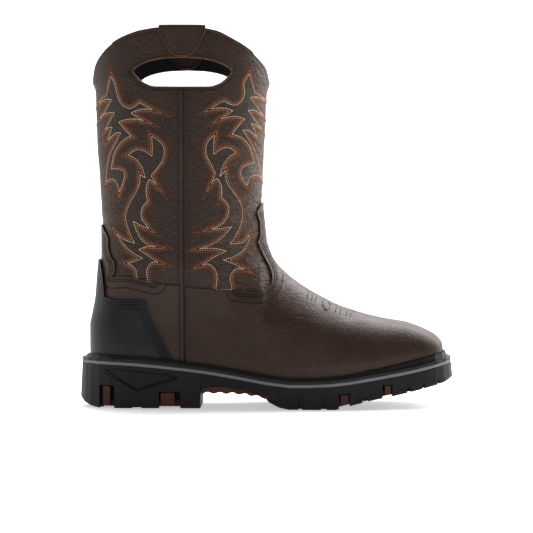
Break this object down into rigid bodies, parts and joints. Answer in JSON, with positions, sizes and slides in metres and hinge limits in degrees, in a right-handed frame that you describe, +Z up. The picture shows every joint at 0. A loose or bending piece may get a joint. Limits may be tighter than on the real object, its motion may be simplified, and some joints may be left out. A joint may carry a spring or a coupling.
{
  "type": "western work boot",
  "caption": "Pull-on western work boot with a wide square toe, scalloped collar with pull holes, rubber heel guard and a lugged sole.",
  "frame": {"origin": "centre of the boot's box, on the floor under the sole", "axes": "+X towards the toe, +Y towards the inner side of the foot, +Z up the shaft"},
  "size_m": [0.3077, 0.1137, 0.309],
  "materials": {
    "shaft_leather": "matte",
    "foot_leather": "satin",
    "black_rubber": "matte",
    "brown_rubber": "matte",
    "grey_midsole": "matte",
    "footbed": "matte"
  },
  "bodies": {
    "root": {"upper": "shaft_leather", "vamp": "foot_leather", "counter": "foot_leather", "heel_guard": "black_rubber", "side_seam_lateral": "foot_leather", "side_seam_medial": "foot_leather", "pull_tab_lateral": "foot_leather", "pull_tab_medial": "foot_leather", "insole": "footbed", "welt": "black_rubber", "midsole": "grey_midsole", "outsole": "black_rubber", "heel_lugs": "brown_rubber", "forefoot_lugs": "brown_rubber", "arch_insert": "brown_rubber"}
  },
  "joints": []
}
